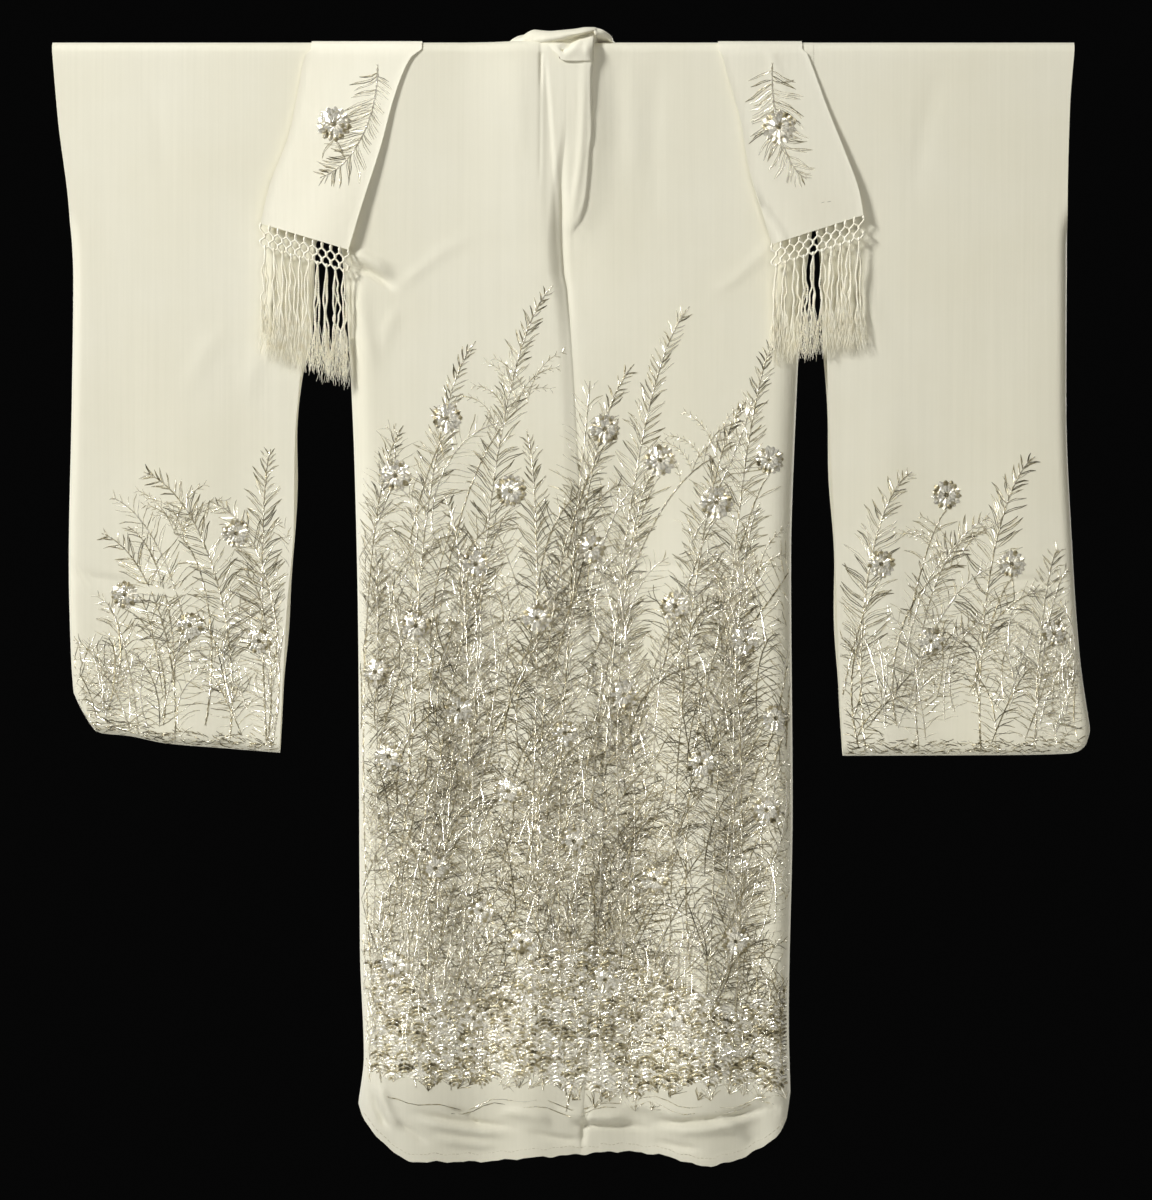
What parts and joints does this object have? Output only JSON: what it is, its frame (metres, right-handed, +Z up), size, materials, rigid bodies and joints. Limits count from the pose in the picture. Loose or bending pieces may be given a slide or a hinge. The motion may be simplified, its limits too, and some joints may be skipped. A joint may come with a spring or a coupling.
{
  "type": "kimono-cut silk robe with a fringed sash, hung on a rod",
  "caption": "Floor-length kimono-cut robe with wide sleeves, hung by its sleeves on a plain rod, its fringed sash laid over both shoulders.",
  "frame": {"origin": "on the rod's axis at the robe's centre back, where the rod carries it", "axes": "+Z up, the robe's back faces -Y and its front +Y, the rod runs along X and the wearer's right is +X"},
  "size_m": [1.3529, 0.0769, 1.4763],
  "materials": {
    "silk": "cream silk crepe, soft low sheen",
    "sash": "warm cream silk crepe, soft low sheen",
    "fringe": "plied silk yarn, cream",
    "silver_thread": "couched silver thread, bright with dark tarnish",
    "wood": "satin varnished dowel"
  },
  "bodies": {
    "root": {"rod": "wood", "body_left": "silk", "body_right": "silk", "sleeve_left": "silk", "sleeve_right": "silk", "overlap_left": "silk", "overlap_right": "silk", "collar": "silk", "sash": "sash", "sash_fringe_left": "fringe", "sash_fringe_right": "fringe"}
  },
  "joints": []
}
